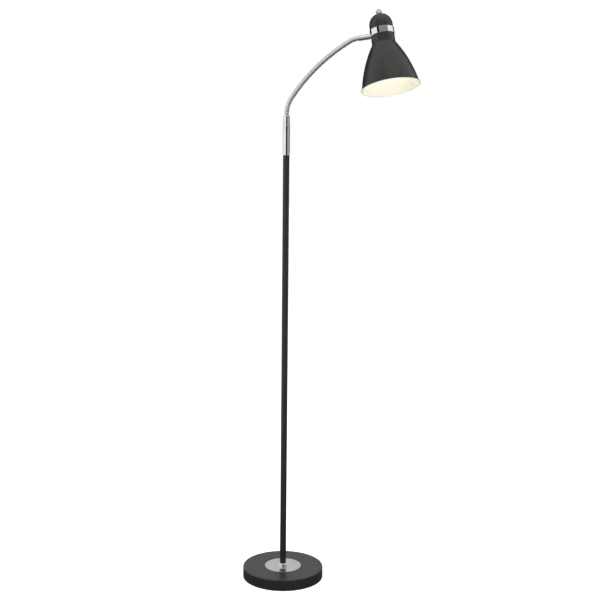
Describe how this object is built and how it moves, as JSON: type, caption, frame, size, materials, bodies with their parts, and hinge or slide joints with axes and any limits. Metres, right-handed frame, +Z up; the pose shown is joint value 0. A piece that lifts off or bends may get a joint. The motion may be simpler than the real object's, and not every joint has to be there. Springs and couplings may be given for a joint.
{
  "type": "floor lamp",
  "caption": "Floor lamp with a round weighted base, slim pole, flexible gooseneck neck and a bell shade that tilts, lit by one screw-in bulb.",
  "frame": {"origin": "centre of the base's underside, on the floor", "axes": "+Z up along the pole, +X the way the neck reaches, +Y the back, where the lead comes in"},
  "size_m": [0.4742, 0.2342, 1.6069],
  "materials": {
    "black_paint": "gloss",
    "neck_chrome": "satin",
    "brushed_disc": "satin",
    "chrome": "polished",
    "plated_steel": "satin",
    "bulb_cap": "satin",
    "cast_iron": "matte",
    "foam": "matte",
    "black_plastic": "satin",
    "brass": "satin",
    "opal": "satin"
  },
  "bodies": {
    "stand": {"base_pad": "foam", "base_cover": "black_paint", "base_weight": "cast_iron", "base_disc": "brushed_disc", "base_washer": "plated_steel", "base_nut": "plated_steel", "foot_rod": "plated_steel", "inlet_bush": "black_plastic", "foot_collar": "chrome", "pole_lower_tube": "black_paint", "pole_upper_tube": "black_paint", "foot_bush": "plated_steel", "seam_lower_bush": "plated_steel", "seam_upper_bush": "plated_steel", "seam_rod": "plated_steel", "pole_top_bush": "plated_steel", "pole_ferrule": "chrome", "neck_root_fitting": "neck_chrome"},
    "link_01": {"neck_link_01": "neck_chrome"},
    "link_02": {"neck_link_02": "neck_chrome"},
    "link_03": {"neck_link_03": "neck_chrome"},
    "link_04": {"neck_link_04": "neck_chrome"},
    "link_05": {"neck_link_05": "neck_chrome"},
    "link_06": {"neck_link_06": "neck_chrome"},
    "link_07": {"neck_link_07": "neck_chrome"},
    "link_08": {"neck_link_08": "neck_chrome"},
    "link_09": {"neck_link_09": "neck_chrome"},
    "link_10": {"neck_link_10": "neck_chrome"},
    "link_11": {"neck_link_11": "neck_chrome"},
    "link_12": {"neck_link_12": "neck_chrome"},
    "head": {"arm_sleeve": "chrome", "arm_rod": "plated_steel", "arm_nut": "plated_steel", "shade": "black_paint", "shade_band": "chrome", "cap": "black_paint", "lampholder_body": "black_plastic", "shade_ring": "black_plastic", "lampholder_shell": "brass", "lampholder_contact": "brass", "bulb_globe": "opal", "bulb_housing": "black_plastic", "bulb_screw_cap": "bulb_cap", "switch_body": "black_plastic", "switch_nut": "plated_steel"},
    "knob": {"switch_shaft": "plated_steel", "switch_knob": "chrome"}
  },
  "joints": [
    {"name": "neck_lower_bend_1", "type": "hinge", "parent": "stand", "child": "link_01", "pos_m": [0, 0, 1.321], "axis": [0, 1, 0], "range_deg": [-12, 12]},
    {"name": "neck_lower_bend_2", "type": "hinge", "parent": "link_01", "child": "link_02", "pos_m": [0.00349, 0, 1.34486], "axis": [0, 1, 0], "range_deg": [-12, 12]},
    {"name": "neck_sway_1", "type": "hinge", "parent": "link_02", "child": "link_03", "pos_m": [0.01367, 0, 1.36672], "axis": [0.8358, 0, -0.549], "range_deg": [-14, 14]},
    {"name": "neck_lower_bend_3", "type": "hinge", "parent": "link_03", "child": "link_04", "pos_m": [0.02744, 0, 1.38662], "axis": [0, 1, 0], "range_deg": [-12, 12]},
    {"name": "neck_lower_bend_4", "type": "hinge", "parent": "link_04", "child": "link_05", "pos_m": [0.04215, 0, 1.40583], "axis": [0, 1, 0], "range_deg": [-12, 12]},
    {"name": "neck_sway_2", "type": "hinge", "parent": "link_05", "child": "link_06", "pos_m": [0.05776, 0, 1.42432], "axis": [0.7482, 0, -0.6635], "range_deg": [-14, 14]},
    {"name": "neck_upper_bend_1", "type": "hinge", "parent": "link_06", "child": "link_07", "pos_m": [0.07425, 0, 1.44203], "axis": [0, 1, 0], "range_deg": [-12, 12]},
    {"name": "neck_upper_bend_2", "type": "hinge", "parent": "link_07", "child": "link_08", "pos_m": [0.09157, 0, 1.45893], "axis": [0, 1, 0], "range_deg": [-12, 12]},
    {"name": "neck_sway_3", "type": "hinge", "parent": "link_08", "child": "link_09", "pos_m": [0.10968, 0, 1.47498], "axis": [0.645, 0, -0.7642], "range_deg": [-14, 14]},
    {"name": "neck_upper_bend_3", "type": "hinge", "parent": "link_09", "child": "link_10", "pos_m": [0.12854, 0, 1.49014], "axis": [0, 1, 0], "range_deg": [-12, 12]},
    {"name": "neck_upper_bend_4", "type": "hinge", "parent": "link_10", "child": "link_11", "pos_m": [0.14811, 0, 1.50437], "axis": [0, 1, 0], "range_deg": [-12, 12]},
    {"name": "neck_sway_4", "type": "hinge", "parent": "link_11", "child": "link_12", "pos_m": [0.16834, 0, 1.51765], "axis": [0.5284, 0, -0.849], "range_deg": [-14, 14]},
    {"name": "neck_upper_bend_5", "type": "hinge", "parent": "link_12", "child": "head", "pos_m": [0.19087, 0, 1.52603], "axis": [0, 1, 0], "range_deg": [-12, 12]},
    {"name": "switch_turn", "type": "hinge", "parent": "head", "child": "knob", "pos_m": [0.27924, -0.0393, 1.39544], "axis": [-0.1492, 0.2656, 0.9525], "continuous": true}
  ],
  "couplings": [
    {"joint": "neck_lower_bend_2", "follows": "neck_lower_bend_1", "ratio": 1},
    {"joint": "neck_lower_bend_3", "follows": "neck_lower_bend_1", "ratio": 1},
    {"joint": "neck_lower_bend_4", "follows": "neck_lower_bend_1", "ratio": 1},
    {"joint": "neck_sway_2", "follows": "neck_sway_1", "ratio": 1},
    {"joint": "neck_upper_bend_2", "follows": "neck_upper_bend_1", "ratio": 1},
    {"joint": "neck_sway_3", "follows": "neck_sway_1", "ratio": 1},
    {"joint": "neck_upper_bend_3", "follows": "neck_upper_bend_1", "ratio": 1},
    {"joint": "neck_upper_bend_4", "follows": "neck_upper_bend_1", "ratio": 1},
    {"joint": "neck_sway_4", "follows": "neck_sway_1", "ratio": 1},
    {"joint": "neck_upper_bend_5", "follows": "neck_upper_bend_1", "ratio": 1}
  ]
}
